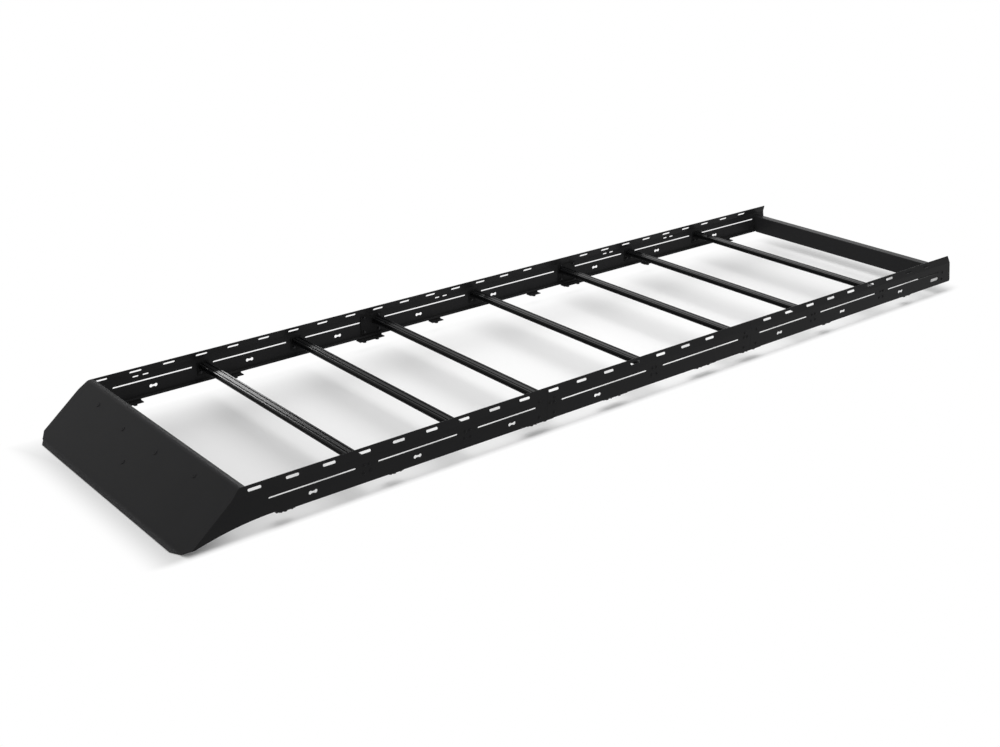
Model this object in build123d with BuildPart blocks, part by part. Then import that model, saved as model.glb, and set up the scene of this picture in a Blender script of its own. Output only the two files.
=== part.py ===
"""Long low-profile van roof rack: slotted sheet side rails, T-slot crossbars, wind fairing, rear panel."""
import os
from math import atan2, hypot, sin, tan

from build123d import *

# Frame: X forward to the fairing, Y to the left rail, Z up, origin on the floor under the middle.
# Places along the rack are stations, measured rearward from the front end of the rails.
# Heights are depths, measured down from the top edges of the rails. All lengths are millimetres.

# Sheet metal
SHEET = 3.2
BEND_RADIUS = 8.0
SEAM = 1.0

# Side rails
RAIL_LENGTH = 4798.0
RAIL_HEIGHT = 161.7
WIDTH_OVER_WEBS = 1469.0
LEAN_HEIGHT = 39.0
LEAN_IN = 14.5
RETURN_WIDTH = 25.2
RETURN_START = 126.0
RETURN_BEND = 4.0
REAR_SLANT = 30.5
REAR_CORNER_RADIUS = 12.0

# Crossbars, T-slot extrusion
BAR_STATIONS = (575.6, 1119.0, 1625.0, 2302.0, 2979.5, 3535.7, 4146.0)
BAR_WIDTH = 50.8
BAR_HEIGHT = 25.4
BAR_DEPTH = 78.0
BAR_CORNER_RADIUS = 1.2
BAR_END_GAP = 0.3
TSLOT_SPACING = 25.4
TSLOT_MOUTH = 6.5
TSLOT_LIP = 2.2
TSLOT_CAVITY = 14.6
TSLOT_WALL = 1.5
TSLOT_FLOOR = 7.2
TSLOT_REACH = 6.3

# Rail joints stand beside two of the crossbars: bar number and distance behind that bar
JOINT_OFFSETS = {3: -33.0, 5: 37.5}

# Strap slots in the leaning top flange
STRAP_LENGTH = 63.5
STRAP_HEIGHT = 12.2
STRAP_DEPTH = 19.0
STRAP_PITCH = 177.8
STRAP_FIRST = (38.0, 46.2, 135.0)
STRAP_MOST = (9, 7, 9)
STRAP_END_MARGIN = 122.0

# Long thin slots between the crossbars
LINE_SLOT_HEIGHT = 7.2
LINE_SLOT_DEPTH = 79.0
LINE_SLOT_BAR_MARGIN = 58.0
LINE_SLOT_JOINT_MARGIN = 70.0
LINE_SLOT_FRONT_MARGIN = 94.0
LINE_SLOT_REAR_MARGIN = 97.0
LINE_SLOT_SHORTEST = 100.0

# Tie-down slots low on the web, each two round lobes and a neck: the left middle rail has one less
TIE_FIRST = (304.0, 323.0, 238.0)
TIE_PITCH = 537.0
LEFT_TIES_MOST = (3, 1, 3)
RIGHT_TIES_MOST = (3, 2, 3)
TIE_DEPTH = 119.0
TIE_END_MARGIN = 60.0
TIE_LOBE_RADIUS = 8.7
TIE_LOBE_APART = 26.0
TIE_NECK = 10.5

# Pairs of awning slots, on the right rail alone
AWNING_STATIONS = (243.0, 2072.0, 3363.0, 3890.0)
AWNING_SPACING = 53.5
AWNING_LENGTH = 31.0
AWNING_HEIGHT = 7.0
AWNING_DEPTH = 49.0

# Plain hand slot at the rear of the left rail
HAND_SLOT_FROM_REAR = 134.0
HAND_SLOT_LENGTH = 76.0
HAND_SLOT_HEIGHT = 20.0
HAND_SLOT_DEPTH = 119.0

# Wind fairing
FAIRING_LIP = 27.5
FAIRING_RUN = 261.0
FAIRING_DROP = 222.0
FAIRING_TOE = 25.0
FAIRING_TOP_BEND = 26.0
FAIRING_TOE_BEND = 16.0
CORNER_CUT_DEPTH = 200.0
CORNER_CUT_WIDTH = 45.0
TOE_CUT_WIDTH = 50.0

# Noses of the front rails, which reach under the fairing and have a curved lower edge
NOSE_EDGE_DEPTH = 150.3
NOSE_EDGE_RADIUS = 1420.0

# Bar brackets and splices, of thicker plate
PLATE = 5.0
BRACKET_WIDTH = 64.0
BRACKET_RISE = 6.0
BRACKET_DROP = 40.0
LEDGE_REACH = 45.0
SPLICE_TOP = 46.0
SPLICE_BOTTOM = 150.0
SPLICE_LENGTH = 132.0

# Feet under the rails: a sole below the return, a strip between the two, and round pads
SOLE_LENGTH = 77.0
SOLE_OUTER = 15.2
SOLE_INNER = 54.2
SOLE_BOTTOM = 171.5
SOLE_THICKNESS = 4.0
PAD_RADIUS = 10.5
PAD_IN = 36.8
PAD_BOTTOM = 182.0
FOOT_HOLE_RADIUS = 4.5
REAR_FOOT_FROM_REAR = 377.0

# Pad stations of each foot but the rear one: the left rail has two more pairs than the right
SHARED_FEET = ((185.0,), (736.0,), (1524.5, 1607.5), (3001.5, 3084.5), (3678.0,))
LEFT_FEET = ((2010.5, 2093.5), (2649.5, 2732.5))
RIGHT_FEET = ((2010.5,), (2732.5,))

# Rear panel
PANEL_TOP = 60.0
PANEL_INSET = 30.0
PANEL_FLANGE = 51.0
PANEL_HEIGHT = 104.7
PANEL_BEND = 4.5
PANEL_TAB = 40.0
PANEL_TAB_TOP = 72.0
PANEL_TAB_BOTTOM = 148.0

# Places worked out from the sizes above
FAIRING_REACH = FAIRING_LIP + FAIRING_RUN + FAIRING_TOE
REAR_SLOPE = REAR_SLANT / RAIL_HEIGHT
REAR_REACH = REAR_SLANT - REAR_CORNER_RADIUS * (REAR_SLOPE + hypot(1, REAR_SLOPE) - 1)
RAIL_FRONT_X = (RAIL_LENGTH + REAR_REACH + FAIRING_REACH) / 2 - FAIRING_REACH
RAIL_TOP_Z = FAIRING_DROP + SHEET
WEB_HALF = WIDTH_OVER_WEBS / 2
TOP_HALF = WEB_HALF - LEAN_IN
SEAT_Y = WEB_HALF - SHEET
BAR_HALF_LENGTH = SEAT_Y - PLATE - BAR_END_GAP
FACE_ANGLE = atan2(FAIRING_DROP, FAIRING_RUN)
JOINTS = tuple(BAR_STATIONS[bar - 1] + behind for bar, behind in JOINT_OFFSETS.items())
SECTION_ENDS = (0.0, *JOINTS, RAIL_LENGTH)
SECTION_NAMES = ("front", "middle", "rear")
SIDES = {"left": 1, "right": -1}
THROUGH = 4 * SHEET


def station_x(station):
    """X of a place along the rack."""
    return RAIL_FRONT_X - station


def depth_z(depth):
    """Z of a place below the rail tops."""
    return RAIL_TOP_Z - depth


def web_plane(y):
    """An upright plane along the rack, its local x and y being X and Z."""
    return Plane(origin=(0, y, 0), x_dir=(1, 0, 0), z_dir=(0, -1, 0))


def lean_plane(side):
    """The plane of a rail's leaning flange, through the middle of its strap slots."""
    lean_y = TOP_HALF + LEAN_IN * STRAP_DEPTH / LEAN_HEIGHT
    return Plane(
        origin=(0, side * lean_y, depth_z(STRAP_DEPTH)),
        x_dir=(1, 0, 0),
        z_dir=(0, side * LEAN_HEIGHT, LEAN_IN),
    )


def stations_in(first, pitch, most, end_margin, start, end):
    """Stations of a pattern in one rail section, as many as fit before its end, up to a count."""
    stations = []
    station = start + first
    while station <= end - end_margin and len(stations) < most:
        stations.append(station)
        station += pitch
    return stations


def line_slots():
    """Start and end station of each long thin slot."""
    stops = [(0.0, LINE_SLOT_FRONT_MARGIN), (RAIL_LENGTH, LINE_SLOT_REAR_MARGIN)]
    stops += [(station, LINE_SLOT_BAR_MARGIN) for station in BAR_STATIONS]
    stops += [(station, LINE_SLOT_JOINT_MARGIN) for station in JOINTS]
    stops.sort()
    spans = []
    for (before, margin_before), (after, margin_after) in zip(stops, stops[1:]):
        span = (before + margin_before, after - margin_after)
        if span[1] - span[0] > LINE_SLOT_SHORTEST:
            spans.append(span)
    return spans


def save(piece, name):
    """Labels a finished piece and writes its file."""
    piece.label = name
    export_step(piece, f"parts/{name}.step")


def bent_section(side, station, bottom, returns):
    """A bent section at a station: a leaning flange, a web down to a depth and, if asked, a return."""
    inward = Side.RIGHT if side > 0 else Side.LEFT
    corners = [
        (side * TOP_HALF, depth_z(0)),
        (side * WEB_HALF, depth_z(LEAN_HEIGHT)),
        (side * WEB_HALF, depth_z(bottom)),
    ]
    bends = [BEND_RADIUS]
    if returns:
        corners.append((side * (WEB_HALF - RETURN_WIDTH), depth_z(bottom)))
        bends.append(RETURN_BEND)
    with BuildSketch(Plane.YZ.offset(station_x(station))) as section:
        with BuildLine():
            FilletPolyline(*corners, radius=bends)
            offset(amount=SHEET, side=inward)
        make_face()
    return section.sketch


def below_nose_edge():
    """The space under a nose's curved lower edge, ahead of the returns, seen from the side."""
    with BuildSketch(web_plane(0)) as space:
        with Locations((station_x(RETURN_START), depth_z(NOSE_EDGE_DEPTH + NOSE_EDGE_RADIUS))):
            Circle(NOSE_EDGE_RADIUS)
        with Locations((station_x(RETURN_START), depth_z(NOSE_EDGE_DEPTH))):
            Rectangle(
                RETURN_START + FAIRING_REACH,
                FAIRING_DROP,
                align=(Align.MIN, Align.MAX),
                mode=Mode.INTERSECT,
            )
    return space.sketch


def rear_rail_outline(front_edge):
    """A rear rail seen from the side: its end slants to the rear and has a rounded low corner."""
    with BuildSketch(web_plane(0)) as outline:
        Polygon(
            (station_x(front_edge), depth_z(0)),
            (station_x(front_edge), depth_z(RAIL_HEIGHT)),
            (station_x(RAIL_LENGTH + REAR_SLANT), depth_z(RAIL_HEIGHT)),
            (station_x(RAIL_LENGTH), depth_z(0)),
            align=None,
        )
        fillet(outline.vertices().sort_by(Axis.X)[0], REAR_CORNER_RADIUS)
    return outline.sketch


def cut_tie_slot(station):
    """A tie-down slot on the sketch in use: two round lobes and a neck."""
    x = station_x(station)
    z = depth_z(TIE_DEPTH)
    half_apart = TIE_LOBE_APART / 2
    with Locations((x + half_apart, z), (x - half_apart, z)):
        Circle(TIE_LOBE_RADIUS)
    with Locations((x, z)):
        Rectangle(TIE_LOBE_APART, TIE_NECK)


def face_back(depth):
    """Station of the fairing's back surface at a depth."""
    return -FAIRING_LIP - depth / tan(FACE_ANGLE) + SHEET / sin(FACE_ANGLE)


def make_nose(side, fairing):
    """The front of a front rail: from the start of its return to the fairing's back."""
    section_face = bent_section(side, RETURN_START, CORNER_CUT_DEPTH, False)
    with BuildPart() as nose:
        extrude(section_face, amount=RETURN_START + FAIRING_REACH)
        with BuildSketch(web_plane(0)):
            Polygon(
                (station_x(RETURN_START), depth_z(0)),
                (station_x(0), depth_z(0)),
                (station_x(0), depth_z(SHEET)),
                (station_x(face_back(SHEET)), depth_z(SHEET)),
                (station_x(face_back(CORNER_CUT_DEPTH)), depth_z(CORNER_CUT_DEPTH)),
                (station_x(RETURN_START), depth_z(CORNER_CUT_DEPTH)),
                align=None,
            )
        extrude(amount=-side * WIDTH_OVER_WEBS, mode=Mode.INTERSECT)
        extrude(below_nose_edge(), amount=-side * WIDTH_OVER_WEBS, mode=Mode.SUBTRACT)
        add(fairing, mode=Mode.SUBTRACT)
    return nose.part


def make_rail(side, section, fairing):
    """One section of a side rail, with its slots and, on the front one, its nose."""
    start = SECTION_ENDS[section]
    end = SECTION_ENDS[section + 1]
    is_rear = end == RAIL_LENGTH
    front_edge = RETURN_START if section == 0 else start + SEAM / 2
    rear_edge = end + REAR_SLANT if is_rear else end - SEAM / 2
    ties_most = LEFT_TIES_MOST if side > 0 else RIGHT_TIES_MOST
    straps = stations_in(STRAP_FIRST[section], STRAP_PITCH, STRAP_MOST[section], STRAP_END_MARGIN, start, end)
    ties = stations_in(TIE_FIRST[section], TIE_PITCH, ties_most[section], TIE_END_MARGIN, start, end)
    lines = [span for span in line_slots() if start <= span[0] and span[1] <= end]
    awnings = [station for station in AWNING_STATIONS if side < 0 and start < station < end]
    section_face = bent_section(side, rear_edge, RAIL_HEIGHT, True)
    with BuildPart() as rail:
        extrude(section_face, amount=rear_edge - front_edge)
        if section == 0:
            add(make_nose(side, fairing))
        if is_rear:
            extrude(rear_rail_outline(front_edge), amount=-side * WIDTH_OVER_WEBS, mode=Mode.INTERSECT)
        with BuildSketch(lean_plane(side)):
            with Locations(*[(station_x(station), 0) for station in straps]):
                SlotOverall(STRAP_LENGTH, STRAP_HEIGHT)
        extrude(amount=THROUGH, both=True, mode=Mode.SUBTRACT)
        with BuildSketch(web_plane(side * WEB_HALF)):
            for slot_start, slot_end in lines:
                with Locations((station_x((slot_start + slot_end) / 2), depth_z(LINE_SLOT_DEPTH))):
                    SlotOverall(slot_end - slot_start, LINE_SLOT_HEIGHT)
            for station in ties:
                cut_tie_slot(station)
            for station in awnings:
                for step in (-AWNING_SPACING / 2, AWNING_SPACING / 2):
                    with Locations((station_x(station) + step, depth_z(AWNING_DEPTH))):
                        SlotOverall(AWNING_LENGTH, AWNING_HEIGHT)
            if is_rear and side > 0:
                with Locations((station_x(RAIL_LENGTH - HAND_SLOT_FROM_REAR), depth_z(HAND_SLOT_DEPTH))):
                    SlotOverall(HAND_SLOT_LENGTH, HAND_SLOT_HEIGHT)
        extrude(amount=THROUGH, both=True, mode=Mode.SUBTRACT)
    return rail.part


def make_crossbar(station):
    """A T-slot bar across the rack: two slots above, two below and one along each edge."""
    half_width = BAR_WIDTH / 2
    half_height = BAR_HEIGHT / 2
    half_mouth = TSLOT_MOUTH / 2
    half_cavity = TSLOT_CAVITY / 2
    half_floor = TSLOT_FLOOR / 2
    shoulder = TSLOT_LIP + TSLOT_WALL
    tslot = (
        (-half_mouth, TSLOT_LIP), (-half_mouth, -TSLOT_LIP), (-half_cavity, -TSLOT_LIP),
        (-half_cavity, -shoulder), (-half_floor, -TSLOT_REACH), (half_floor, -TSLOT_REACH),
        (half_cavity, -shoulder), (half_cavity, -TSLOT_LIP), (half_mouth, -TSLOT_LIP),
        (half_mouth, TSLOT_LIP),
    )
    mouths = [Location((half_width, 0), -90), Location((-half_width, 0), 90)]
    for x in (-TSLOT_SPACING / 2, TSLOT_SPACING / 2):
        mouths += [Location((x, half_height), 0), Location((x, -half_height), 180)]
    section = Plane(origin=(station_x(station), 0, depth_z(BAR_DEPTH)), x_dir=(1, 0, 0), z_dir=(0, -1, 0))
    with BuildPart() as bar:
        with BuildSketch(section):
            RectangleRounded(BAR_WIDTH, BAR_HEIGHT, BAR_CORNER_RADIUS)
            with Locations(*mouths):
                Polygon(*tslot, align=None, mode=Mode.SUBTRACT)
        extrude(amount=BAR_HALF_LENGTH, both=True)
    return bar.part


def ledge_outline(side, station):
    """The ledge under a bar's end, seen from above."""
    with BuildSketch(Plane.XY.offset(depth_z(BAR_DEPTH + BAR_HEIGHT / 2))) as ledge:
        with Locations((station_x(station), side * (SEAT_Y - (PLATE + LEDGE_REACH) / 2))):
            Rectangle(BAR_WIDTH, PLATE + LEDGE_REACH)
    return ledge.sketch


def make_bar_brackets(station):
    """The pair of angle brackets that carry one bar: a plate on each rail and a ledge under the bar."""
    top = BAR_DEPTH - BAR_HEIGHT / 2 - BRACKET_RISE
    bottom = BAR_DEPTH + BAR_HEIGHT / 2 + BRACKET_DROP
    with BuildPart() as brackets:
        for side in SIDES.values():
            with BuildSketch(web_plane(side * SEAT_Y)):
                with Locations((station_x(station), depth_z((top + bottom) / 2))):
                    Rectangle(BRACKET_WIDTH, bottom - top)
            extrude(amount=side * PLATE)
            extrude(ledge_outline(side, station), amount=-PLATE)
    return brackets.part


def make_splice(side, bar_station, joint_station):
    """A splice inside a rail joint, with the ledge that carries the bar beside the joint."""
    with BuildPart() as splice:
        with BuildSketch(web_plane(side * SEAT_Y)):
            with Locations((station_x(joint_station), depth_z((SPLICE_TOP + SPLICE_BOTTOM) / 2))):
                Rectangle(SPLICE_LENGTH, SPLICE_BOTTOM - SPLICE_TOP)
        extrude(amount=side * PLATE)
        extrude(ledge_outline(side, bar_station), amount=-PLATE)
    return splice.part


def make_foot(side, pads):
    """A foot under a rail's return, with a round pad and a bolt hole at each of its pad stations."""
    middle_x = station_x((pads[0] + pads[-1]) / 2)
    length = SOLE_LENGTH + pads[-1] - pads[0]
    pad_places = [(station_x(pad), side * (WEB_HALF - PAD_IN)) for pad in pads]
    with BuildPart() as foot:
        with BuildSketch(Plane.XY.offset(depth_z(SOLE_BOTTOM))):
            with Locations((middle_x, side * (WEB_HALF - (SOLE_OUTER + SOLE_INNER) / 2))):
                Rectangle(length, SOLE_INNER - SOLE_OUTER)
        extrude(amount=SOLE_THICKNESS)
        with BuildSketch(Plane.XY.offset(depth_z(SOLE_BOTTOM))):
            with Locations((middle_x, side * (WEB_HALF - (SOLE_OUTER + RETURN_WIDTH) / 2))):
                Rectangle(length, RETURN_WIDTH - SOLE_OUTER)
        extrude(amount=SOLE_BOTTOM - RAIL_HEIGHT)
        with BuildSketch(Plane.XY.offset(depth_z(PAD_BOTTOM))):
            with Locations(*pad_places):
                Circle(PAD_RADIUS)
        extrude(amount=PAD_BOTTOM - SOLE_BOTTOM)
        with BuildSketch(Plane.XY.offset(depth_z(PAD_BOTTOM))):
            with Locations(*pad_places):
                Circle(FOOT_HOLE_RADIUS)
        extrude(amount=PAD_BOTTOM - SOLE_BOTTOM + SOLE_THICKNESS, mode=Mode.SUBTRACT)
    return foot.part


def make_fairing():
    """The wind fairing: one bent sheet with a top lip, a sloping face and a toe, its low corners cut."""
    toe_z = depth_z(FAIRING_DROP)
    with BuildPart() as fairing:
        with BuildSketch(Plane.XZ):
            with BuildLine():
                FilletPolyline(
                    (station_x(-SEAM), depth_z(0)),
                    (station_x(-FAIRING_LIP), depth_z(0)),
                    (station_x(-FAIRING_LIP - FAIRING_RUN), toe_z),
                    (station_x(-FAIRING_REACH), toe_z),
                    radius=(FAIRING_TOP_BEND, FAIRING_TOE_BEND),
                )
                offset(amount=SHEET, side=Side.RIGHT)
            make_face()
        extrude(amount=WEB_HALF, both=True)
        with BuildSketch(Plane.YZ.offset(station_x(0))):
            with BuildLine():
                outline = Polyline(
                    (0, depth_z(0)),
                    (TOP_HALF, depth_z(0)),
                    (WEB_HALF, depth_z(LEAN_HEIGHT)),
                    (WEB_HALF, depth_z(CORNER_CUT_DEPTH)),
                    (WEB_HALF - CORNER_CUT_WIDTH, toe_z - SHEET),
                    (0, toe_z - SHEET),
                )
                mirror(outline, about=Plane.YZ)
            make_face()
        extrude(amount=FAIRING_REACH, mode=Mode.INTERSECT)
        with BuildSketch(Plane.XY):
            toe_back = station_x(-FAIRING_LIP - FAIRING_RUN)
            toe_front = station_x(-FAIRING_REACH)
            for side in SIDES.values():
                Polygon(
                    (toe_back, side * (WEB_HALF - CORNER_CUT_WIDTH)),
                    (toe_front, side * (WEB_HALF - CORNER_CUT_WIDTH - TOE_CUT_WIDTH)),
                    (toe_front, side * WEB_HALF),
                    (toe_back, side * WEB_HALF),
                    align=None,
                )
        extrude(amount=FAIRING_DROP, mode=Mode.SUBTRACT)
    return fairing.part


def make_rear_panel():
    """The rear panel: a top flange, an upright web notched over the returns, and a tab on each rail."""
    flange_end = RAIL_LENGTH - PANEL_INSET
    web_station = flange_end - PANEL_FLANGE
    with BuildPart() as panel:
        with BuildSketch(Plane.XZ):
            with BuildLine():
                FilletPolyline(
                    (station_x(flange_end), depth_z(PANEL_TOP)),
                    (station_x(web_station), depth_z(PANEL_TOP)),
                    (station_x(web_station), depth_z(PANEL_TOP + PANEL_HEIGHT)),
                    radius=PANEL_BEND,
                )
                offset(amount=SHEET, side=Side.RIGHT)
            make_face()
        extrude(amount=SEAT_Y, both=True)
        with BuildSketch(Plane.YZ.offset(station_x(web_station))):
            for side in SIDES.values():
                with Locations((side * WEB_HALF, depth_z(PANEL_TAB_BOTTOM))):
                    Rectangle(2 * (RETURN_WIDTH + SEAM), PANEL_HEIGHT, align=(Align.CENTER, Align.MAX))
        extrude(amount=THROUGH, both=True, mode=Mode.SUBTRACT)
        for side in SIDES.values():
            with BuildSketch(web_plane(side * SEAT_Y)):
                middle = depth_z((PANEL_TAB_TOP + PANEL_TAB_BOTTOM) / 2)
                with Locations((station_x(web_station + PANEL_TAB / 2), middle)):
                    Rectangle(PANEL_TAB, PANEL_TAB_BOTTOM - PANEL_TAB_TOP)
            extrude(amount=side * SHEET)
    return panel.part


def main():
    os.makedirs("parts", exist_ok=True)
    fairing = make_fairing()
    save(fairing, "front_fairing")
    save(make_rear_panel(), "rear_panel")
    for number, station in enumerate(BAR_STATIONS, 1):
        save(make_crossbar(station), f"crossbar_{number}")
        if number not in JOINT_OFFSETS:
            save(make_bar_brackets(station), f"bar_{number}_brackets")
    rear_foot = (RAIL_LENGTH - REAR_FOOT_FROM_REAR,)
    for side_name, side in SIDES.items():
        for section, section_name in enumerate(SECTION_NAMES):
            save(make_rail(side, section, fairing), f"{side_name}_{section_name}_rail")
        for joint_name, bar, joint in zip(("front", "rear"), JOINT_OFFSETS, JOINTS):
            save(make_splice(side, BAR_STATIONS[bar - 1], joint), f"{side_name}_{joint_name}_splice")
        own_feet = LEFT_FEET if side > 0 else RIGHT_FEET
        for number, pads in enumerate(sorted(SHARED_FEET + own_feet) + [rear_foot], 1):
            save(make_foot(side, pads), f"{side_name}_foot_{number}")


main()
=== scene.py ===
"""Looks of the van roof rack: black powder coat, anodised bars, bolts and nuts, a pale studio floor."""

from math import cos, radians, sin

import bmesh
import bpy
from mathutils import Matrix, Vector
from mathutils.bvhtree import BVHTree


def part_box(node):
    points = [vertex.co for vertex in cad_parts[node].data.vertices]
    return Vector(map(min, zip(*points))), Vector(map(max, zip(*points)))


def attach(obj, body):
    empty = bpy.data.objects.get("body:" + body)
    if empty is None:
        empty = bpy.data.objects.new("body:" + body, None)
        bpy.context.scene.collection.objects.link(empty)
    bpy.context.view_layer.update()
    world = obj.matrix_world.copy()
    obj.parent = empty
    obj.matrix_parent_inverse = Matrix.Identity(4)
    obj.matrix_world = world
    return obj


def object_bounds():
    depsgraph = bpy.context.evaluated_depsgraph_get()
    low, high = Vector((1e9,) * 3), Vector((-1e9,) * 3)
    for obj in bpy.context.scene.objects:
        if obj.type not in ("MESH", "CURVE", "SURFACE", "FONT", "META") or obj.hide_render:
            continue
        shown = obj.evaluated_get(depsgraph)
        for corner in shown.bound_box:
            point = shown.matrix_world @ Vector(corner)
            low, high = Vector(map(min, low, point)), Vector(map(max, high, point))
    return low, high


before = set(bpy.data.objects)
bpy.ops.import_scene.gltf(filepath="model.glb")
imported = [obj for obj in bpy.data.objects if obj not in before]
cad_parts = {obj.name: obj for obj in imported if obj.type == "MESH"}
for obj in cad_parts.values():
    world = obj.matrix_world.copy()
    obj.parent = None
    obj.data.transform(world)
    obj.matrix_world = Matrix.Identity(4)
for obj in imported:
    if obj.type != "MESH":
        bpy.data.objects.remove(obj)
cad_low, cad_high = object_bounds()
scene = bpy.context.scene
scene.view_settings.view_transform = "Standard"

# All lengths are metres. Stations run rearward from the front of the rails, depths down from their tops.
RAILS = [f"{side}_{part}_rail" for side in ("left", "right") for part in ("front", "middle", "rear")]
SHEETS = ["front_fairing", "rear_panel", *RAILS]
BARS = [f"crossbar_{number}" for number in range(1, 8)]
BRACKETS = [f"bar_{number}_brackets" for number in (1, 2, 4, 6, 7)]
SPLICES = [f"{side}_{end}_splice" for side in ("left", "right") for end in ("front", "rear")]
FEET = [f"{side}_foot_{number}" for side in ("left", "right") for number in range(1, 9)]
SIDES = {"left": 1, "right": -1}

FIRST_BAR_STATION = 0.5756
RAIL_FRONT_X = (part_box("crossbar_1")[0].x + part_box("crossbar_1")[1].x) / 2 + FIRST_BAR_STATION
RAIL_TOP_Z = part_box("left_front_rail")[1].z
WEB_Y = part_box("left_front_rail")[1].y

# Camera, solved from the photograph: its place from the rails' front and top, its turn in degrees
CAMERA_AHEAD = 2.348
CAMERA_LEFT = 5.2165
CAMERA_ABOVE = 2.547
CAMERA_TURN = (67.50, 0.0, 140.81)
CAMERA_LENS = 50.0
CAMERA_REACH = 200.0

# Light: a long bank overhead, a low lamp beyond the right rail, two small ones that glint in the first bar
# and in the rear ones, and a soft dome, which is seen as plain white
DOME_STRENGTH = 0.47
BANK_POWER = 84.0
BANK_BACK = 0.6
BANK_HEIGHT = 3.0
BANK_LENGTH = 5.0
BANK_WIDTH = 2.6
LOW_STRENGTH = 1.45
LOW_TURN = (69.0, 0.0, -22.0)
LOW_SPREAD = 28.0
GLINT_STRENGTH = 0.115
GLINT_TURN = (69.5, 0.0, -27.5)
GLINT_SPREAD = 5.0
REAR_GLINT_STRENGTH = 0.08
REAR_GLINT_TURN = (71.5, 0.0, -47.5)
REAR_GLINT_SPREAD = 20.0

# A dark flag far beyond the right rail, turned some degrees to the rear and met only by glosses:
# the fairing's lip mirrors it
FLAG_DISTANCE = 20.0
FLAG_TURN = 19.5
FLAG_RISE = 8.4
FLAG_WIDTH = 5.0
FLAG_HEIGHT = 8.4

# Floor, which turns plain white away from the rack and throws little light back at it
FLOOR_SIZE = 80.0
FLOOR_GAP = 0.0005
FLOOR_COLOUR = (0.848, 0.848, 0.848)
FLOOR_BOUNCE_COLOUR = (0.55, 0.55, 0.55)
WHITE_AHEAD = 0.16
WHITE_BESIDE = 0.06
WHITE_UNDER_RAIL = 0.03
WHITE_FAR_FROM = 0.30
WHITE_FAR_OVER = 0.43

# Powder coat: a fine grain and a broad cloud, whose scales are per metre
GRAIN_SCALE = 1400.0
GRAIN_DETAIL = 2.0
GRAIN_SHARE = 0.7
GRAIN_ROUGHNESS = 0.1
GRAIN_BUMP = 0.25
GRAIN_HEIGHT = 0.0004
CLOUD_SCALE = 5.0
CLOUD_DETAIL = 3.0
CLOUD_ROUGHNESS = 0.12
COAT_GLOSS = 0.05
SHEET_DARK = (0.0135, 0.0135, 0.014)
SHEET_LIGHT = (0.028, 0.028, 0.029)
SHEET_ROUGHNESS = 0.36
PLATE_DARK = (0.008, 0.008, 0.0083)
PLATE_LIGHT = (0.018, 0.018, 0.0187)
PLATE_ROUGHNESS = 0.48

# Anodised bars: lines drawn along their length
BAR_LINES = (900.0, 3.0, 900.0)
BAR_LINE_DETAIL = 3.0
BAR_LINE_SHARE = 0.8
BAR_LINE_ROUGHNESS = 0.04
BAR_CLOUD_SCALE = 4.0
BAR_CLOUD_DETAIL = 2.0
BAR_CLOUD_ROUGHNESS = 0.06
BAR_DARK = (0.005, 0.005, 0.0053)
BAR_LIGHT = (0.012, 0.012, 0.0126)
BAR_GLOSS = 0.045
BAR_ROUGHNESS = 0.18

# Blackened steel of the nuts and screws
SMEAR_SCALE = 420.0
SMEAR_DETAIL = 3.0
SMEAR_ROUGHNESS = 0.2
STEEL_DARK = (0.018, 0.018, 0.019)
STEEL_LIGHT = (0.04, 0.04, 0.042)
STEEL_METAL = 0.85
STEEL_ROUGHNESS = 0.32

# White plastic of the plate
PLASTIC_CLOUD_SCALE = 60.0
PLASTIC_CLOUD_DETAIL = 2.0
PLASTIC_CLOUD_ROUGHNESS = 0.1
PLASTIC_DARK = (0.92, 0.92, 0.92)
PLASTIC_LIGHT = (0.96, 0.96, 0.96)
PLASTIC_ROUGHNESS = 0.5

# Fasteners: a dome is a little wider than the head it rounds, and a crown than its nut
ROUND_SIDES = 24
DOME_RINGS = 12
STUD_SIDES = 16
HEX_SIDES = 6
HEX_TURN = 60.0
TURN_SEED = 7
SHARP_ANGLE = 32.0
DOME_WIDTH = 1.06
CROWN_WIDTH = 1.25
CROWN_RISE = 1.35
SHEET = 0.0032
BOLT_HEAD_RADIUS = 0.007
BOLT_HEAD_HEIGHT = 0.0032
BOLT_SOCKET_RADIUS = 0.0029
BOLT_SOCKET_DEPTH = 0.0014
BOLT_WASHER_RADIUS = 0.0085
BOLT_WASHER_HEIGHT = 0.0012
NUT_RADIUS = 0.0075
NUT_HEIGHT = 0.0065
STUD_RADIUS = 0.004
STUD_HEIGHT = 0.0095
FOOT_SCREW_RADIUS = 0.0047
FOOT_SCREW_HEIGHT = 0.0035
BAR_BOLT_SPACING = 0.0254
BRACKET_BOLT_SPACING = 0.036
BRACKET_BOLT_RISE = 0.018
SPLICE_BOLT_SPACING = 0.094
SPLICE_BOLT_DEPTHS = (0.054, 0.134)
PANEL_BOLT_BACK = 0.026
PANEL_BOLT_DEPTHS = (0.090, 0.130)
FOOT_SCREW_SPACING = 0.052
FOOT_SCREW_IN = 0.0202
FAIRING_BOLT_RADIUS = 0.0112
FAIRING_BOLT_HEIGHT = 0.0016
FAIRING_SOCKET_RADIUS = 0.0024
FAIRING_SOCKET_DEPTH = 0.0006
FAIRING_WASHER_HEIGHT = 0.0003
FAIRING_BOLTS = ((-0.076, -0.509), (-0.092, -0.218), (-0.091, 0.099), (-0.077, 0.427), (-0.179, -0.052))

# How far a line looks for a surface
REACH = 0.08

# A plain pale plate inside the web, behind the slot at the left rail's rear end
REAR_SLOT_STATION = 4.664
REAR_SLOT_DEPTH = 0.119
SLOT_PLATE_LENGTH = 0.094
SLOT_PLATE_HEIGHT = 0.034
SLOT_PLATE_THICKNESS = 0.001


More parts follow.
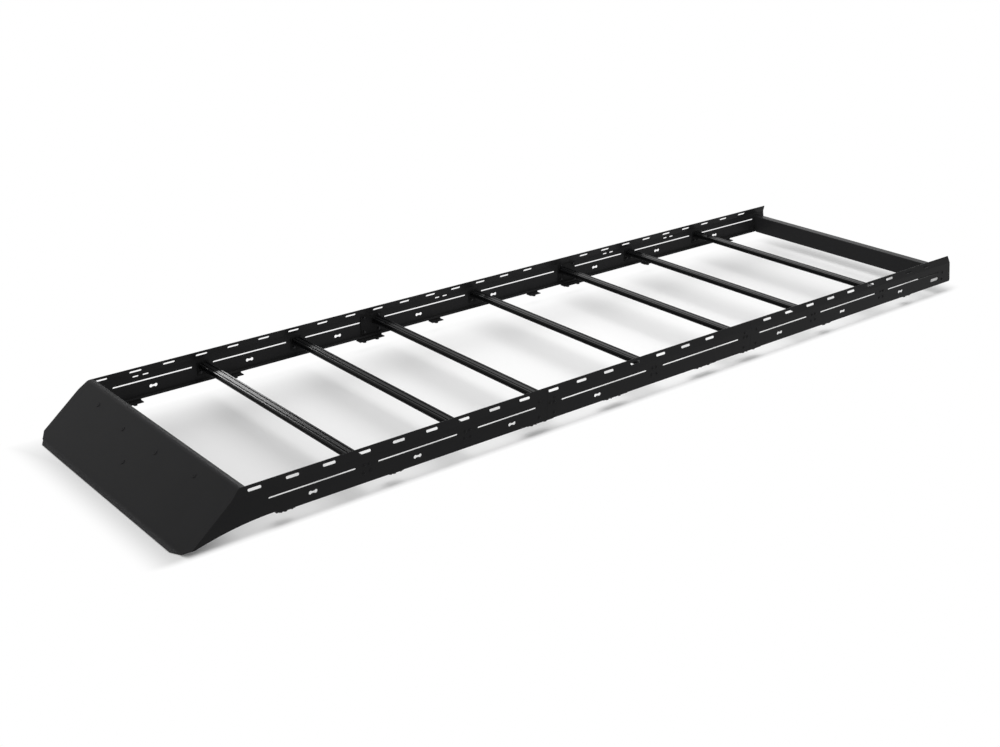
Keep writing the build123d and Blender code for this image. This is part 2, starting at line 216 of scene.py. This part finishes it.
class Value:
    """A shader value: it wraps a socket, and arithmetic on it adds Math nodes."""

    def __init__(self, tree, socket):
        self.tree = tree
        self.socket = socket

    def node(self, kind, settings, sockets, outlet=0):
        """Adds any other node: its type, its settings, then the values or links of its sockets."""
        made = self.tree.nodes.new(kind)
        for name, setting in settings.items():
            setattr(made, name, setting)
        for name, given in sockets.items():
            if isinstance(given, Value):
                self.tree.links.new(given.socket, made.inputs[name])
            else:
                made.inputs[name].default_value = given
        return Value(self.tree, made.outputs[outlet])

    def math(self, operation, first, second):
        return self.node("ShaderNodeMath", {"operation": operation}, {0: first, 1: second})

    def __add__(self, other):
        return self.math("ADD", self, other)

    def __radd__(self, other):
        return self.math("ADD", other, self)

    def __sub__(self, other):
        return self.math("SUBTRACT", self, other)

    def __rsub__(self, other):
        return self.math("SUBTRACT", other, self)

    def __mul__(self, other):
        return self.math("MULTIPLY", self, other)

    def __rmul__(self, other):
        return self.math("MULTIPLY", other, self)

    def size(self):
        return self.node("ShaderNodeMath", {"operation": "ABSOLUTE"}, {0: self})

    def root(self):
        return self.node("ShaderNodeMath", {"operation": "SQRT"}, {0: self})

    def at_least(self, other):
        return self.math("MAXIMUM", self, other)

    def at_most(self, other):
        return self.math("MINIMUM", self, other)

    def step(self, low, high):
        """A smooth step from 0 to 1 between two values."""
        return self.node(
            "ShaderNodeMapRange",
            {"interpolation_type": "SMOOTHSTEP"},
            {"Value": self, "From Min": low, "From Max": high},
        )

    def part(self, axis):
        """One axis of these coordinates."""
        return self.node("ShaderNodeSeparateXYZ", {}, {"Vector": self}, outlet=axis)

    def noise(self, scale, detail):
        """A soft noise on this value's coordinates, about 0.5 in the middle."""
        return self.node("ShaderNodeTexNoise", {}, {"Vector": self, "Scale": scale, "Detail": detail})

    def stretched(self, scale):
        """These coordinates with each axis scaled."""
        return self.node("ShaderNodeMapping", {}, {"Vector": self, "Scale": scale})

    def between(self, dark, light):
        """A colour from dark to light by this value."""
        return self.node(
            "ShaderNodeMix",
            {"data_type": "RGBA"},
            {"Factor": self, 6: (*dark, 1.0), 7: (*light, 1.0)},
            outlet=2,
        )


def new_material(name):
    """A fresh material: its principled shader and its object coordinates."""
    material = bpy.data.materials.new(name)
    material.use_nodes = True
    tree = material.node_tree
    shader = tree.nodes["Principled BSDF"]
    coordinates = tree.nodes.new("ShaderNodeTexCoord")
    return material, shader, Value(tree, coordinates.outputs["Object"])


def connect(value, shader, socket):
    value.tree.links.new(value.socket, shader.inputs[socket])


def seen_rays(tree):
    """One for rays that show the background, straight or in a gloss, and zero for the light it gives."""
    rays = tree.nodes.new("ShaderNodeLightPath")
    seen = Value(tree, rays.outputs["Is Camera Ray"])
    seen = seen.at_least(Value(tree, rays.outputs["Is Glossy Ray"]))
    return seen.at_least(Value(tree, rays.outputs["Is Transmission Ray"]))


def powder_coat(name, dark, light, roughness):
    """Satin black powder coat: a fine grain, a faint unevenness of gloss, small bumps."""
    material, shader, here = new_material(name)
    grain = here.noise(GRAIN_SCALE, GRAIN_DETAIL)
    cloud = here.noise(CLOUD_SCALE, CLOUD_DETAIL)
    shader.inputs["Specular IOR Level"].default_value = COAT_GLOSS
    shade = grain * GRAIN_SHARE + cloud * (1.0 - GRAIN_SHARE)
    connect(shade.between(dark, light), shader, "Base Color")
    unevenness = (cloud - 0.5) * CLOUD_ROUGHNESS + (grain - 0.5) * GRAIN_ROUGHNESS
    connect(roughness + unevenness, shader, "Roughness")
    bumps = here.node(
        "ShaderNodeBump",
        {},
        {"Strength": GRAIN_BUMP, "Distance": GRAIN_HEIGHT, "Height": grain},
    )
    connect(bumps, shader, "Normal")
    return material


def anodised_bar(name):
    """Black anodised extrusion: drawn lines along its length, with a clearer gloss than the coat."""
    material, shader, here = new_material(name)
    lines = here.stretched(BAR_LINES).noise(1.0, BAR_LINE_DETAIL)
    cloud = here.noise(BAR_CLOUD_SCALE, BAR_CLOUD_DETAIL)
    shader.inputs["Specular IOR Level"].default_value = BAR_GLOSS
    shade = lines * BAR_LINE_SHARE + cloud * (1.0 - BAR_LINE_SHARE)
    connect(shade.between(BAR_DARK, BAR_LIGHT), shader, "Base Color")
    unevenness = (lines - 0.5) * BAR_LINE_ROUGHNESS + (cloud - 0.5) * BAR_CLOUD_ROUGHNESS
    connect(BAR_ROUGHNESS + unevenness, shader, "Roughness")
    return material


def black_bolt(name):
    """Blackened steel, with a slight smear of gloss."""
    material, shader, here = new_material(name)
    smear = here.noise(SMEAR_SCALE, SMEAR_DETAIL)
    shader.inputs["Metallic"].default_value = STEEL_METAL
    connect(smear.between(STEEL_DARK, STEEL_LIGHT), shader, "Base Color")
    connect(STEEL_ROUGHNESS + (smear - 0.5) * SMEAR_ROUGHNESS, shader, "Roughness")
    return material


def pale_plastic(name):
    """Matt white plastic, very slightly uneven."""
    material, shader, here = new_material(name)
    cloud = here.noise(PLASTIC_CLOUD_SCALE, PLASTIC_CLOUD_DETAIL)
    connect(cloud.between(PLASTIC_DARK, PLASTIC_LIGHT), shader, "Base Color")
    connect(PLASTIC_ROUGHNESS + (cloud - 0.5) * PLASTIC_CLOUD_ROUGHNESS, shader, "Roughness")
    return material


def pale_floor(name):
    """A matt pale floor that keeps the rack's shadow and is seen as plain white farther out."""
    material, shader, here = new_material(name)
    tree = here.tree
    seen = seen_rays(tree)
    connect(seen.between(FLOOR_BOUNCE_COLOUR, FLOOR_COLOUR), shader, "Base Color")
    shader.inputs["Roughness"].default_value = 1.0
    shader.inputs["Specular IOR Level"].default_value = 0.0
    ahead = (here.part("X").size() - cad_high.x).at_least(0.0) * (1.0 / WHITE_AHEAD)
    beside = (here.part("Y").size() - (cad_high.y - WHITE_UNDER_RAIL)).at_least(0.0) * (1.0 / WHITE_BESIDE)
    clear = (ahead * ahead + beside * beside).root().step(0.0, 1.0)
    far = (-WHITE_FAR_FROM - here.part("Y")).at_least(0.0) * (1.0 / WHITE_FAR_OVER)
    fade = clear.at_least((far * far).at_most(1.0))
    white = tree.nodes.new("ShaderNodeEmission")
    mix = tree.nodes.new("ShaderNodeMixShader")
    tree.links.new((fade * seen).socket, mix.inputs["Fac"])
    tree.links.new(shader.outputs[0], mix.inputs[1])
    tree.links.new(white.outputs[0], mix.inputs[2])
    tree.links.new(mix.outputs[0], tree.nodes["Material Output"].inputs["Surface"])
    return material


SHEET_COAT = powder_coat("sheet_powder_coat", SHEET_DARK, SHEET_LIGHT, SHEET_ROUGHNESS)
PLATE_COAT = powder_coat("plate_powder_coat", PLATE_DARK, PLATE_LIGHT, PLATE_ROUGHNESS)
BAR_FINISH = anodised_bar("bar_anodising")
BOLT_FINISH = black_bolt("blackened_steel")
PLATE_PLASTIC = pale_plastic("white_plastic")

for names, finish in ((SHEETS, SHEET_COAT), (BARS, BAR_FINISH), (BRACKETS + SPLICES + FEET, PLATE_COAT)):
    for name in names:
        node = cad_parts[name]
        for place in node.material_slots:
            place.material = finish


# Places of the fasteners, found on the solids

TREES = {}
for name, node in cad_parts.items():
    TREES[name] = BVHTree.FromPolygons(
        [vertex.co for vertex in node.data.vertices],
        [polygon.vertices for polygon in node.data.polygons],
    )


def surface(names, origin, direction):
    """The first place where a line meets these pieces, and the way that face points."""
    best = None
    for name in names:
        place, facing, _, distance = TREES[name].ray_cast(origin, direction, REACH)
        if place is not None and (best is None or distance < best[2]):
            best = (place, facing, distance)
    if best is None:
        raise ValueError(f"no surface of {names} at {tuple(origin)}")
    return best[0], best[1]


def place_at(station, y, depth):
    return Vector((RAIL_FRONT_X - station, y, RAIL_TOP_Z - depth))


def rail_at(side_name, x):
    """The rail on one side that has this place along it."""
    for name in RAILS:
        low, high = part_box(name)
        if name.startswith(side_name) and low.x <= x <= high.x:
            return name
    raise ValueError(f"no {side_name} rail at {x}")


bolts = []
fairing_bolts = []
nuts = []
foot_screws = []


def through_web(side_name, x, z, inner):
    """A bolt through a rail's web from outside and, where there is a piece inside, its nut."""
    side = SIDES[side_name]
    out = Vector((0.0, side, 0.0))
    web = Vector((x, side * WEB_Y, z))
    bolts.append(surface([rail_at(side_name, x)], web + out * REACH / 2, -out))
    if inner:
        nuts.append(surface([inner], web - out * REACH / 2, out))


for side_name in SIDES:
    for bar in BARS:
        low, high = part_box(bar)
        middle = (low + high) / 2
        for step in (-BAR_BOLT_SPACING / 2, BAR_BOLT_SPACING / 2):
            through_web(side_name, middle.x + step, middle.z, None)
    for brackets in BRACKETS:
        low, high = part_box(brackets)
        middle_x = (low.x + high.x) / 2
        for step in (-BRACKET_BOLT_SPACING / 2, BRACKET_BOLT_SPACING / 2):
            through_web(side_name, middle_x + step, low.z + BRACKET_BOLT_RISE, brackets)
    for splice in SPLICES:
        if splice.startswith(side_name):
            low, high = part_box(splice)
            middle_x = (low.x + high.x) / 2
            for step in (-SPLICE_BOLT_SPACING / 2, SPLICE_BOLT_SPACING / 2):
                for depth in SPLICE_BOLT_DEPTHS:
                    through_web(side_name, middle_x + step, RAIL_TOP_Z - depth, splice)
    panel_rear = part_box("rear_panel")[0].x
    for depth in PANEL_BOLT_DEPTHS:
        through_web(side_name, panel_rear + PANEL_BOLT_BACK, RAIL_TOP_Z - depth, "rear_panel")

for foot in FEET:
    low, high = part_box(foot)
    side = SIDES[foot.split("_")[0]]
    steps = (-FOOT_SCREW_SPACING / 2, FOOT_SCREW_SPACING / 2)
    for step in steps:
        under = Vector(((low.x + high.x) / 2 + step, side * (WEB_Y - FOOT_SCREW_IN), low.z - REACH / 2))
        foot_screws.append(surface([foot], under, Vector((0.0, 0.0, 1.0))))

for station, y in FAIRING_BOLTS:
    above = place_at(station, y, 0.0) + Vector((0.0, 0.0, REACH / 2))
    hit, facing = TREES["front_fairing"].ray_cast(above, Vector((0.0, 0.0, -1.0)))[:2]
    fairing_bolts.append((hit, facing))
    nuts.append((hit - facing * SHEET, -facing))


# Geometry Nodes trees of the fasteners

class Tree:
    """A Geometry Nodes tree under construction, with named inputs."""

    def __init__(self, name, sizes):
        self.tree = bpy.data.node_groups.new(name, "GeometryNodeTree")
        self.tree.is_modifier = True
        sockets = self.tree.interface
        sockets.new_socket("Geometry", in_out="INPUT", socket_type="NodeSocketGeometry")
        for size in sizes:
            sockets.new_socket(size, in_out="INPUT", socket_type="NodeSocketFloat")
        sockets.new_socket("Seed", in_out="INPUT", socket_type="NodeSocketInt")
        sockets.new_socket("Finish", in_out="INPUT", socket_type="NodeSocketMaterial")
        sockets.new_socket("Geometry", in_out="OUTPUT", socket_type="NodeSocketGeometry")
        self.inputs = self.tree.nodes.new("NodeGroupInput")
        self.result = self.tree.nodes.new("NodeGroupOutput")

    def given(self, name):
        return self.inputs.outputs[name]

    def node(self, kind, settings, sockets):
        """Adds a node: its type, its settings, then the values or links of its sockets."""
        made = self.tree.nodes.new(kind)
        for name, setting in settings.items():
            setattr(made, name, setting)
        for name, value in sockets.items():
            if isinstance(value, bpy.types.NodeSocket):
                self.tree.links.new(value, made.inputs[name])
            elif isinstance(value, list):
                for each in value:
                    self.tree.links.new(each, made.inputs[name])
            else:
                made.inputs[name].default_value = value
        return made

    def math(self, operation, first, second):
        return self.node("ShaderNodeMath", {"operation": operation}, {0: first, 1: second}).outputs[0]

    def rod(self, sides, radius, base, top):
        """An upright rod or prism from one height to another."""
        length = self.math("SUBTRACT", top, base)
        made = self.node(
            "GeometryNodeMeshCylinder",
            {"fill_type": "NGON"},
            {"Vertices": sides, "Radius": radius, "Depth": length},
        )
        middle = self.math("MULTIPLY", self.math("ADD", top, base), 0.5)
        place = self.node("ShaderNodeCombineXYZ", {}, {"Z": middle}).outputs[0]
        sockets = {"Geometry": made.outputs["Mesh"], "Translation": place}
        return self.node("GeometryNodeTransform", {}, sockets).outputs[0]

    def dome(self, radius, height):
        """A ball flattened to a height."""
        ball = self.node(
            "GeometryNodeMeshUVSphere",
            {},
            {"Segments": ROUND_SIDES, "Rings": DOME_RINGS, "Radius": radius},
        )
        flat = self.math("DIVIDE", height, radius)
        scale = self.node("ShaderNodeCombineXYZ", {}, {"X": 1.0, "Y": 1.0, "Z": flat}).outputs[0]
        sockets = {"Geometry": ball.outputs["Mesh"], "Scale": scale}
        return self.node("GeometryNodeTransform", {}, sockets).outputs[0]

    def both(self, first, second):
        sockets = {"Mesh 2": [first, second]}
        return self.node("GeometryNodeMeshBoolean", {"operation": "INTERSECT"}, sockets).outputs[0]

    def without(self, first, second):
        sockets = {"Mesh 1": first, "Mesh 2": [second]}
        return self.node("GeometryNodeMeshBoolean", {"operation": "DIFFERENCE"}, sockets).outputs[0]

    def joined(self, *pieces):
        return self.node("GeometryNodeJoinGeometry", {}, {"Geometry": list(pieces)}).outputs[0]

    def place_on_points(self, piece):
        """Stands the piece on every point along its facing, turned at random, and gives it its finish."""
        facing = self.node(
            "GeometryNodeInputNamedAttribute",
            {"data_type": "FLOAT_VECTOR"},
            {"Name": "facing"},
        )
        aim = self.node(
            "FunctionNodeAlignRotationToVector",
            {"axis": "Z"},
            {"Vector": facing.outputs["Attribute"]},
        )
        turn = self.node(
            "FunctionNodeRandomValue",
            {"data_type": "FLOAT"},
            {"Min": 0.0, "Max": radians(HEX_TURN), "Seed": self.given("Seed")},
        )
        about = self.node("ShaderNodeCombineXYZ", {}, {"Z": turn.outputs[1]}).outputs[0]
        spin = self.node("FunctionNodeEulerToRotation", {}, {"Euler": about}).outputs[0]
        rotation = self.node(
            "FunctionNodeRotateRotation",
            {"rotation_space": "LOCAL"},
            {"Rotation": aim.outputs[0], "Rotate By": spin},
        ).outputs[0]
        instances = self.node(
            "GeometryNodeInstanceOnPoints",
            {},
            {"Points": self.given("Geometry"), "Instance": piece, "Rotation": rotation},
        ).outputs[0]
        real = self.node("GeometryNodeRealizeInstances", {}, {"Geometry": instances}).outputs[0]
        sockets = {"Geometry": real, "Material": self.given("Finish")}
        finished = self.node("GeometryNodeSetMaterial", {}, sockets)
        self.tree.links.new(finished.outputs[0], self.result.inputs[0])


def button_bolt_tree():
    """A washer, a domed head and its six-sided socket."""
    sizes = ("Head Radius", "Head Height", "Socket Radius", "Socket Depth", "Washer Radius", "Washer Height")
    tree = Tree("button_bolt", sizes)
    washer_top = tree.given("Washer Height")
    top = tree.math("ADD", washer_top, tree.given("Head Height"))
    washer = tree.rod(ROUND_SIDES, tree.given("Washer Radius"), 0.0, washer_top)
    stem = tree.rod(ROUND_SIDES, tree.given("Head Radius"), washer_top, top)
    dome = tree.dome(tree.math("MULTIPLY", tree.given("Head Radius"), DOME_WIDTH), top)
    head = tree.both(dome, stem)
    floor = tree.math("SUBTRACT", top, tree.given("Socket Depth"))
    above = tree.math("ADD", top, tree.given("Head Height"))
    socket = tree.rod(HEX_SIDES, tree.given("Socket Radius"), floor, above)
    tree.place_on_points(tree.joined(washer, tree.without(head, socket)))
    return tree.tree


def nut_tree():
    """A washer, a six-sided nut and the end of its bolt."""
    sizes = ("Nut Radius", "Nut Height", "Stud Radius", "Stud Height", "Washer Radius", "Washer Height")
    tree = Tree("nut", sizes)
    washer_top = tree.given("Washer Height")
    nut_top = tree.math("ADD", washer_top, tree.given("Nut Height"))
    washer = tree.rod(ROUND_SIDES, tree.given("Washer Radius"), 0.0, washer_top)
    prism = tree.rod(HEX_SIDES, tree.given("Nut Radius"), washer_top, nut_top)
    crown_radius = tree.math("MULTIPLY", tree.given("Nut Radius"), CROWN_WIDTH)
    crown = tree.dome(crown_radius, tree.math("MULTIPLY", nut_top, CROWN_RISE))
    stud_top = tree.math("ADD", washer_top, tree.given("Stud Height"))
    stud = tree.rod(STUD_SIDES, tree.given("Stud Radius"), nut_top, stud_top)
    tree.place_on_points(tree.joined(washer, tree.both(crown, prism), stud))
    return tree.tree


def foot_screw_tree():
    """A plain six-sided screw head."""
    tree = Tree("foot_screw", ("Head Radius", "Head Height"))
    prism = tree.rod(HEX_SIDES, tree.given("Head Radius"), 0.0, tree.given("Head Height"))
    tree.place_on_points(prism)
    return tree.tree


def fasteners(name, places, tree, finish, sizes):
    """One plain mesh of a fastener at all its places."""
    mesh = bpy.data.meshes.new(name)
    mesh.from_pydata([place for place, _ in places], [], [])
    facing = mesh.attributes.new("facing", "FLOAT_VECTOR", "POINT")
    for index, (_, way) in enumerate(places):
        facing.data[index].vector = way
    maker = bpy.data.objects.new(f"{name}_places", mesh)
    scene.collection.objects.link(maker)
    modifier = maker.modifiers.new("fasteners", "NODES")
    modifier.node_group = tree
    given = {**sizes, "Seed": TURN_SEED, "Finish": finish}
    for item in tree.interface.items_tree:
        if item.in_out == "INPUT" and item.name in given:
            modifier[item.identifier] = given[item.name]
    bpy.context.view_layer.update()
    evaluated = maker.evaluated_get(bpy.context.evaluated_depsgraph_get())
    made = bpy.data.meshes.new_from_object(evaluated)
    made.name = name
    maker.modifiers.remove(modifier)
    bpy.data.objects.remove(maker)
    made.set_sharp_from_angle(angle=radians(SHARP_ANGLE))
    piece = bpy.data.objects.new(name, made)
    scene.collection.objects.link(piece)
    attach(piece, "root")
    return piece


WASHER = {"Washer Radius": BOLT_WASHER_RADIUS, "Washer Height": BOLT_WASHER_HEIGHT}
BUTTON_BOLT = button_bolt_tree()
fasteners("button_bolts", bolts, BUTTON_BOLT, SHEET_COAT, {
    "Head Radius": BOLT_HEAD_RADIUS,
    "Head Height": BOLT_HEAD_HEIGHT,
    "Socket Radius": BOLT_SOCKET_RADIUS,
    "Socket Depth": BOLT_SOCKET_DEPTH,
    **WASHER,
})
fasteners("fairing_bolts", fairing_bolts, BUTTON_BOLT, SHEET_COAT, {
    "Head Radius": FAIRING_BOLT_RADIUS,
    "Head Height": FAIRING_BOLT_HEIGHT,
    "Socket Radius": FAIRING_SOCKET_RADIUS,
    "Socket Depth": FAIRING_SOCKET_DEPTH,
    "Washer Radius": FAIRING_BOLT_RADIUS,
    "Washer Height": FAIRING_WASHER_HEIGHT,
})
fasteners("nuts", nuts, nut_tree(), BOLT_FINISH, {
    "Nut Radius": NUT_RADIUS,
    "Nut Height": NUT_HEIGHT,
    "Stud Radius": STUD_RADIUS,
    "Stud Height": STUD_HEIGHT,
    **WASHER,
})
fasteners("foot_screws", foot_screws, foot_screw_tree(), BOLT_FINISH, {
    "Head Radius": FOOT_SCREW_RADIUS,
    "Head Height": FOOT_SCREW_HEIGHT,
})


def slot_plate():
    """The thin plate flat against the web's inner face."""
    middle = place_at(REAR_SLOT_STATION, WEB_Y - SHEET - SLOT_PLATE_THICKNESS / 2, REAR_SLOT_DEPTH)
    half_size = Vector((SLOT_PLATE_LENGTH, SLOT_PLATE_THICKNESS, SLOT_PLATE_HEIGHT)) / 2
    shape = bmesh.new()
    bmesh.ops.create_cube(shape, size=2.0)
    for corner in shape.verts:
        corner.co = middle + corner.co * half_size
    mesh = bpy.data.meshes.new("slot_plate")
    shape.to_mesh(mesh)
    shape.free()
    mesh.materials.append(PLATE_PLASTIC)
    piece = bpy.data.objects.new("slot_plate", mesh)
    scene.collection.objects.link(piece)
    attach(piece, "root")


slot_plate()


# Floor, light and camera

floor_mesh = bpy.data.meshes.new("floor")
half = FLOOR_SIZE / 2
floor_z = cad_low.z - FLOOR_GAP
corners = [(-half, -half, floor_z), (half, -half, floor_z), (half, half, floor_z), (-half, half, floor_z)]
floor_mesh.from_pydata(corners, [], [(0, 1, 2, 3)])
floor_mesh.materials.append(pale_floor("pale_floor"))
floor = bpy.data.objects.new("floor", floor_mesh)
scene.collection.objects.link(floor)


def studio_dome():
    """Soft light from all round, seen as white straight and in a gloss."""
    world = bpy.data.worlds.new("studio")
    world.use_nodes = True
    tree = world.node_tree
    background = tree.nodes["Background"]
    background.inputs["Color"].default_value = (1.0, 1.0, 1.0, 1.0)
    connect(DOME_STRENGTH + seen_rays(tree) * (1.0 - DOME_STRENGTH), background, "Strength")
    scene.world = world


def stand_lamp(name, light, place, turn):
    lamp = bpy.data.objects.new(name, light)
    lamp.location = place
    lamp.rotation_euler = [radians(angle) for angle in turn]
    scene.collection.objects.link(lamp)
    return lamp


def dark_flag():
    """An upright black sheet that only a gloss shows, turned to the front of the rails."""
    material, shader, _ = new_material("flag_black")
    shader.inputs["Base Color"].default_value = (0.0, 0.0, 0.0, 1.0)
    shader.inputs["Specular IOR Level"].default_value = 0.0
    turn = radians(FLAG_TURN)
    middle = place_at(0.0, 0.0, -FLAG_RISE) + FLAG_DISTANCE * Vector((-sin(turn), -cos(turn), 0.0))
    across = Vector((cos(turn), -sin(turn), 0.0)) * FLAG_WIDTH / 2
    up = Vector((0.0, 0.0, FLAG_HEIGHT / 2))
    corners = [middle - across - up, middle + across - up, middle + across + up, middle - across + up]
    mesh = bpy.data.meshes.new("dark_flag")
    mesh.from_pydata(corners, [], [(0, 1, 2, 3)])
    mesh.materials.append(material)
    flag = bpy.data.objects.new("dark_flag", mesh)
    flag.visible_camera = False
    flag.visible_diffuse = False
    flag.visible_transmission = False
    flag.visible_shadow = False
    scene.collection.objects.link(flag)


def far_lamp(name, strength, turn, spread):
    """A lamp so far off that its place has no part in its light."""
    light = bpy.data.lights.new(name, "SUN")
    light.energy = strength
    light.angle = radians(spread)
    return stand_lamp(name, light, (0.0, 0.0, 0.0), turn)


studio_dome()
dark_flag()
bank = bpy.data.lights.new("overhead_bank", "AREA")
bank.shape = "RECTANGLE"
bank.size = BANK_LENGTH
bank.size_y = BANK_WIDTH
bank.energy = BANK_POWER
stand_lamp("overhead_bank", bank, (-BANK_BACK, 0.0, floor_z + BANK_HEIGHT), (0.0, 0.0, 0.0))
low_lamp = far_lamp("low_lamp", LOW_STRENGTH, LOW_TURN, LOW_SPREAD)
low_lamp.visible_glossy = False
glint = far_lamp("glint", GLINT_STRENGTH, GLINT_TURN, GLINT_SPREAD)
glint.visible_diffuse = False
rear_glint = far_lamp("rear_glint", REAR_GLINT_STRENGTH, REAR_GLINT_TURN, REAR_GLINT_SPREAD)
rear_glint.visible_diffuse = False

camera_data = bpy.data.cameras.new("camera")
camera_data.lens = CAMERA_LENS
camera_data.clip_end = CAMERA_REACH
camera = bpy.data.objects.new("camera", camera_data)
camera.location = (RAIL_FRONT_X + CAMERA_AHEAD, CAMERA_LEFT, RAIL_TOP_Z + CAMERA_ABOVE)
camera.rotation_euler = [radians(angle) for angle in CAMERA_TURN]
scene.collection.objects.link(camera)
scene.camera = camera
